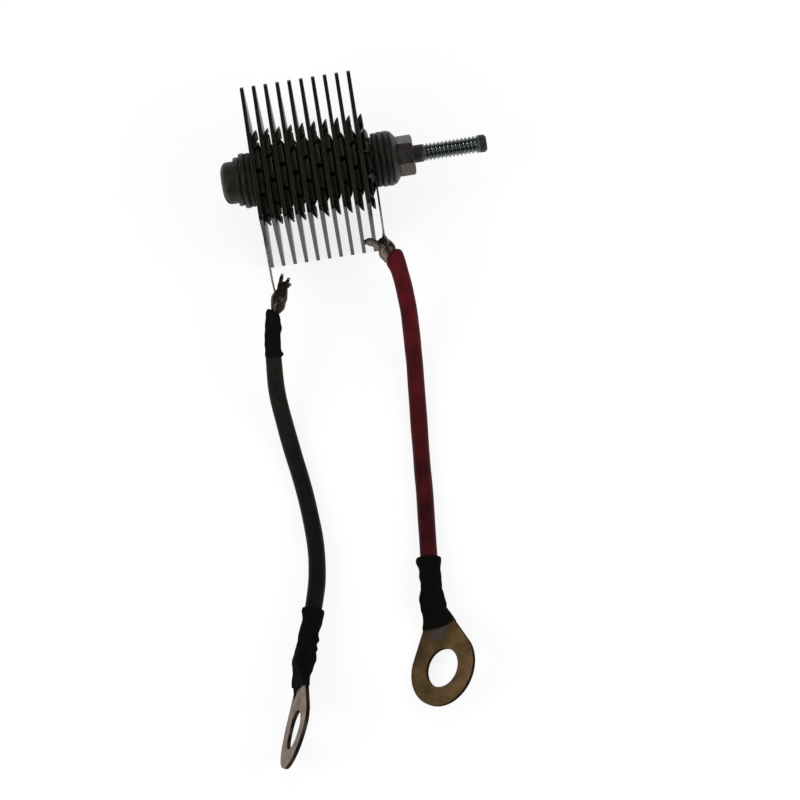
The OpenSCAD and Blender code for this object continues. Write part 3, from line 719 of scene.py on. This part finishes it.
start_end_y = -0.0488
start_wall = 0.00014
start_rough = 0.00005
start_slant = -0.25
start_sides = 32
start_places = [
    (0.0006, 0, 0.0003, 0.0009, 0.8), (0.006, 0, 0.00015, 0.006, 0.9),
    (0.0043, np.pi, 0.0004, 0.0014, 0.8), (0.0116, np.pi, 0.0006, 0.0006, 0.7),
]
start_path = black_path[black_path[:, 1] > start_end_y]
start_run = distances(start_path)[:, None]
start_r = lead_r * end_share(start_run, *black_end)
start_lumps = start_rough * lumps(len(start_path), start_sides, seed=21, rise=5)
start_outer_r = start_r + start_wall + bumps(start_run, angles(start_sides), start_places) + start_lumps
start_outer = slanting(rings(start_path, start_outer_r, start_sides), start_path, lead_r, start_slant)
start_inner = slanting(rings(start_path, start_r, start_sides), start_path, lead_r, start_slant)
start_mesh = grids_mesh("black_start_sleeving", [shell(start_outer, start_inner)])

# Shrunk sleeving gives the eye a dead black with soft wrinkles and hardly any shine. Dust makes
# it a little browner by the stack.
sleeve_black, tree = new_tree("black_sleeving")
cloud = clouds(tree, 0.003)
black_stops = [(0.3, "0b0b0a"), (0.65, "11100f"), (0.9, "1b1a17")]
clean = add(tree, "ValToRGB", stops=black_stops, Fac=cloud).outputs[0]
wrinkle = clouds(tree, 0.0014, detail=5.0)
along = add(tree, "SeparateXYZ", Vector=add(tree, "TexCoord").outputs["Object"]).outputs[1]
dusty = add(tree, "MapRange", Value=along, From_Min=-0.1, From_Max=-0.05).outputs[0]
colour = add(tree, "Mix", {"data_type": "RGBA"}, _0=dusty, _6=clean, _7=linear("14120f")).outputs[2]
gloss = add(tree, "MapRange", Value=cloud, To_Min=0.8, To_Max=0.95).outputs[0]
bump = add(tree, "Bump", Strength=1.0, Distance=0.00012, Height=wrinkle).outputs[0]
shader = add(tree, "BsdfPrincipled", Base_Color=colour, Roughness=gloss, Specular_IOR_Level=0.03, Normal=bump)
add(tree, "OutputMaterial", Surface=shader.outputs[0])
start_sleeve = put("black_start_sleeving", start_mesh, sleeve_black, "black_start_sleeve")

# Lug sleeves: the same sleeving, shrunk over the lug's barrel and the end of the lead. It is
# round on the wire, lumpy over the crimp, drawn flat over the neck and ragged at its front.
barrel_l = 0.008
tongue_drop = 0.0019
sheet_half = 0.0005
neck_half = 0.0013
neck_l = 0.0147
ring_half = 0.00925
neck_slope = (ring_half - neck_half) / neck_l
lift_reach = 0.019
lift_root = 0.003
# A lug sleeve turns square over the barrel's last length square_l and lies flat at flat_reach past
# the barrel. Its underside is under_tongue below the tongue's middle, and two gaps keep it clear.
square_l = 0.003
flat_reach = 0.0075
lip_at = 0.0004
lip_l = 0.0014
neck_play = 0.00012
sleeve_rough = 0.035
cling_l = 0.0012
under_tongue = 0.0007
side_gap = 0.0002
face_gap = 0.00015
push_back = 0.0044
push_l = 0.0012
inner_w = 0.82
inner_h = 0.72
# Each lug's roll about its wire, its tongue's bend and swing, all in degrees, and its neck's lift.
black_set = (71, 3, 0, 0.0019)
red_set = (36, 6, 6, 0)


def lug_axes(route, roll):
    """Axes of a lug: along the wire, and across and square to its flat, turned by roll about the wire."""
    ahead = route[-1] - route[-2]
    ahead /= np.linalg.norm(ahead)
    level = np.cross([0, 0, 1.0], ahead)
    level /= np.linalg.norm(level)
    over = np.cross(ahead, level)
    c, s = np.cos(np.radians(roll)), np.sin(np.radians(roll))
    return np.stack([ahead, c * level + s * over, c * over - s * level])


def lifted(u, lift):
    """How far the neck is bent up at a distance u from the barrel: most at its root, nothing at the hole."""
    return lift * np.clip(1 - u / lift_reach, 0, 1) ** 1.3 * np.clip(1 + u / lift_root, 0, 1)


def clearing(y, z, half_y, mid_y, half_z, mid_z):
    """How much further out on their rays from (0, 0) points clear an oblong with this middle and half size."""
    y, z = np.where(np.abs(y) < 1e-9, 1e-9, y), np.where(np.abs(z) < 1e-9, 1e-9, z)
    leave = np.minimum((mid_y + np.sign(y) * half_y) / y, (mid_z + np.sign(z) * half_z) / z)
    enter = np.maximum((mid_y - np.sign(y) * half_y) / y, (mid_z - np.sign(z) * half_z) / z)
    return np.where(leave > np.maximum(enter, 0), np.maximum(leave, 1), 1)


def shrunk(route, lug_set, radius, back, wrap, slant, lip, flat_h, square, seed, places, tail):
    """A sleeve in the lug's axes: its rings grow from round to an oblong, loose on the neck and flat_h high.

    The start has a flared lip; the front edge slants across and has a tail, given by its angle, length
    and width. Last, each ring is pushed out where it would cut into the lug's tongue.
    """
    roll, bend, swing, lift = lug_set
    sides, count, soft, slack = 64, 110, 0.0003, 0.0003
    turn = angles(sides)
    front = wrap + slant * np.cos(turn) + tail[1] * np.exp(-(((turn - tail[0]) / tail[2]) ** 2))
    s = -back + np.linspace(0, 1, count)[:, None] * (back + barrel_l + front)
    u = s - barrel_l
    ahead = np.maximum(u, 0)
    on_neck = np.clip((u + square_l) / square_l, 0, 1)
    flatten = np.clip(u / flat_reach, 0, 1)
    flatten = flatten * flatten * (3 - 2 * flatten)
    # Half width and half height of the rings, and how square they are.
    flare = lip * np.exp(-(((s + back - lip_at) / lip_l) ** 2)) * (1 - 0.5 * np.cos(turn))
    half_w = soft * np.logaddexp(radius / soft, (neck_half + neck_slope * u + slack) / soft) + flare
    half_h = radius + flare + (flat_h - radius) * flatten + neck_play * on_neck
    power = 2 / (2 + square * on_neck)
    rough = 1 + sleeve_rough * lumps(count, sides, seed, rise=7)
    wrinkle = bumps(s, turn, places)
    cling = 1 - 0.5 * np.clip((u - wrap) / cling_l, 0, 1)
    c, n = np.cos(turn), np.sin(turn)
    y = (half_w * rough + wrinkle) * np.sign(c) * np.abs(c) ** power
    z = (half_h * rough + wrinkle) * np.sign(n) * np.abs(n) ** power * cling
    # The rings' middles follow the tongue, and its edges spread with the neck's slope and the swing.
    y_mid = ahead * np.tan(np.radians(swing))
    tongue_z = u * np.tan(np.radians(bend)) - tongue_drop + lifted(u, lift)
    z_mid = (tongue_z + flat_h - under_tongue) * flatten
    edges = neck_half + ahead[..., None] * np.tan(np.arctan(neck_slope) + np.radians([swing, -swing]))
    tongue_half = edges.mean(-1) + side_gap
    tongue_y = (edges[..., 0] - edges[..., 1]) / 2 - y_mid
    push = clearing(y, z, tongue_half, tongue_y, sheet_half + face_gap, tongue_z - z_mid)
    push = 1 + (push - 1) * np.clip((u + push_back) / push_l, 0, 1)
    y, z = y * push, z * push
    outer = np.stack([s + 0 * y, y + y_mid, z + z_mid], -1)
    inner = np.stack([s + 0 * y, inner_w * y + y_mid, inner_h * z + z_mid], -1)
    axes = lug_axes(route, roll)
    return shell(route[-1] + outer @ axes, route[-1] + inner @ axes)


black_places = [
    (-0.0035, 4.71, 0.0003, 0.002, 1), (0.0005, 4.71, -0.0002, 0.0007, 0.8),
    (0.002, 4.71, 0.0003, 0.0006, 0.8), (-0.0028, 1.57, -0.00025, 0.0018, 1),
    (0.0138, 3, 0.0007, 0.0025, 0.7),
]
red_places = [
    (-0.0028, 3.14, 0.0003, 0.001, 0.9), (0.0105, 3.14, 0.0003, 0.0008, 0.7),
    (0.004, 3.3, -0.0002, 0.004, 1), (0.0145, 3.14, -0.0008, 0.002, 0.6),
]
black_wrap = shrunk(
    black_route, black_set, radius=0.00265, back=0.006, wrap=0.0075, slant=0.0013, lip=0.0002,
    flat_h=0.00085, square=4, seed=31, places=black_places, tail=(1.85, 0.0028, 0.14),
)
red_wrap = shrunk(
    red_route, red_set, radius=0.0029, back=0.0035, wrap=0.0068, slant=-0.0002, lip=0.0004,
    flat_h=0.00095, square=2, seed=32, places=red_places, tail=(1.5, 0.0008, 0.8),
)
black_wrap_mesh = grids_mesh("black_lug_sleeving", [black_wrap])
red_wrap_mesh = grids_mesh("red_lug_sleeving", [red_wrap])
black_lug_sleeve = put("black_lug_sleeving", black_wrap_mesh, sleeve_black, "black_lug_sleeve")
red_lug_sleeve = put("red_lug_sleeving", red_wrap_mesh, sleeve_black, "red_lug_sleeve")


# Ring lugs: stamped from sheet brass, with a closed barrel that is crimped on the wire. Their
# necks are drawn in at the barrel, and the black lead's lug is bent up there.
solid_neck_half = 0.0024
lug_round = 0.00015
root_l = 0.0005
sheet_play = 0.00002
black_flat_normal = (-0.87545, 0.36578, 0.31589)
red_flat_normal = (-0.57835, 0.20538, 0.78952)
dull_shine = linear("958a82")


def bent_neck(lug, route, lug_set):
    """Draws the neck's root in to neck_half and bends the neck up by its lift, in the tongue's own axes."""
    roll, bend, swing, lift = lug_set
    b, w = np.radians([bend, swing])
    pitch = np.array([[np.cos(b), 0, np.sin(b)], [0, 1, 0], [-np.sin(b), 0, np.cos(b)]])
    yaw = np.array([[np.cos(w), np.sin(w), 0], [-np.sin(w), np.cos(w), 0], [0, 0, 1]])
    axes = lug_axes(route, roll)
    mouth = route[-1] + np.array([barrel_l, 0, -tongue_drop]) @ axes
    axes = pitch @ yaw @ axes
    corners = np.empty(3 * len(lug.data.vertices))
    lug.data.vertices.foreach_get("co", corners)
    u, across, out = ((corners.reshape(-1, 3) - mouth) @ axes.T).T
    in_sheet = (u > -root_l) & (np.abs(out) < sheet_half + sheet_play)
    across = np.where(in_sheet & (u < root_l), across * neck_half / solid_neck_half, across)
    out = np.where(in_sheet, out + lifted(u, lift), out)
    lug.data.vertices.foreach_set("co", (mouth + np.stack([u, across, out], 1) @ axes).ravel())


def on_flat(tree, flat_normal):
    """Near 1 on a lug's two flats and near 0 on its cut edges, from the face's direction."""
    facing = add(tree, "NewGeometry").outputs["Normal"]
    share = add(tree, "VectorMath", {"operation": "DOT_PRODUCT"}, _0=facing, _1=flat_normal).outputs["Value"]
    flat = add(tree, "Math", {"operation": "ABSOLUTE"}, _0=share).outputs[0]
    return add(tree, "ValToRGB", stops=[(0.55, 0.0), (0.9, 1.0)], Fac=flat).outputs[0]


# Tin on the black lead's lug gives the eye a pale, warm grey with a soft mirror and dark cut
# edges. Its scratches are drawn 0.7 mm apart so that they show.
tinned_lug, tree = new_tree("tinned_lug_brass")
cloud = clouds(tree, 0.004)
tin = add(tree, "ValToRGB", stops=[(0.3, "8f8179"), (0.6, "b3a7a0"), (0.85, "c9beb8")], Fac=cloud).outputs[0]
flat = on_flat(tree, black_flat_normal)
colour = add(tree, "Mix", {"data_type": "RGBA"}, _0=flat, _6=linear("3a332c"), _7=tin).outputs[2]
scratch = clouds(tree, 0.0007, detail=6.0)
gloss = add(tree, "MapRange", Value=cloud, To_Min=0.25, To_Max=0.45).outputs[0]
bump = add(tree, "Bump", Strength=1.0, Distance=0.00002, Height=scratch).outputs[0]
shader = add(
    tree, "BsdfPrincipled", Base_Color=colour, Roughness=gloss, Metallic=0.9,
    Specular_Tint=dull_shine, Normal=bump,
)
add(tree, "OutputMaterial", Surface=shader.outputs[0])
black_lug = softened("black_ring_lug", "black_lug", lug_round, tinned_lug)
bent_neck(black_lug, black_route, black_set)

# Bare brass on the red lead's lug gives the eye dull brown clouds, lighter towards one
# side of the ring, with a grey patch of tin by the sleeve and dark cut edges.
worn_lug, tree = new_tree("worn_lug_brass")
cloud = clouds(tree, 0.005)
place = add(tree, "TexCoord").outputs["Object"]
towards_one_side = add(tree, "VectorMath", {"operation": "DOT_PRODUCT"}, _0=place, _1=(16, -8, 0)).outputs["Value"]
level = add(tree, "Math", {"operation": "SUBTRACT"}, _0=towards_one_side, _1=0.84).outputs[0]
cloud_and_slope = add(tree, "Math", {"operation": "ADD"}, _0=cloud, _1=level).outputs[0]
brown_stops = [(0.25, "4f3e28"), (0.5, "6b5538"), (0.75, "8a6f49"), (0.95, "9a825b")]
brown = add(tree, "ValToRGB", stops=brown_stops, Fac=cloud_and_slope).outputs[0]
patch_at = (-0.0139, -0.1272, -0.0138)
from_patch = add(tree, "VectorMath", {"operation": "DISTANCE"}, _0=place, _1=patch_at).outputs["Value"]
ragged = add(tree, "Math", {"operation": "MULTIPLY_ADD"}, _0=cloud, _1=0.004, _2=from_patch).outputs[0]
patch = add(tree, "MapRange", Value=ragged, From_Min=0.0035, From_Max=0.005, To_Min=1.0, To_Max=0.0)
patched = add(tree, "Mix", {"data_type": "RGBA"}, _0=patch.outputs[0], _6=brown, _7=linear("574e48")).outputs[2]
flat = on_flat(tree, red_flat_normal)
colour = add(tree, "Mix", {"data_type": "RGBA"}, _0=flat, _6=linear("2b2117"), _7=patched).outputs[2]
scratch = clouds(tree, 0.0007, detail=6.0)
gloss = add(tree, "MapRange", Value=flat, To_Min=0.8, To_Max=0.45).outputs[0]
bump = add(tree, "Bump", Strength=1.0, Distance=0.00003, Height=scratch).outputs[0]
shader = add(
    tree, "BsdfPrincipled", Base_Color=colour, Roughness=gloss, Metallic=0.55, Specular_IOR_Level=0.25,
    Specular_Tint=dull_shine, Normal=bump,
)
add(tree, "OutputMaterial", Surface=shader.outputs[0])
red_lug = softened("red_ring_lug", "red_lug", lug_round, worn_lug)
bent_neck(red_lug, red_route, red_set)
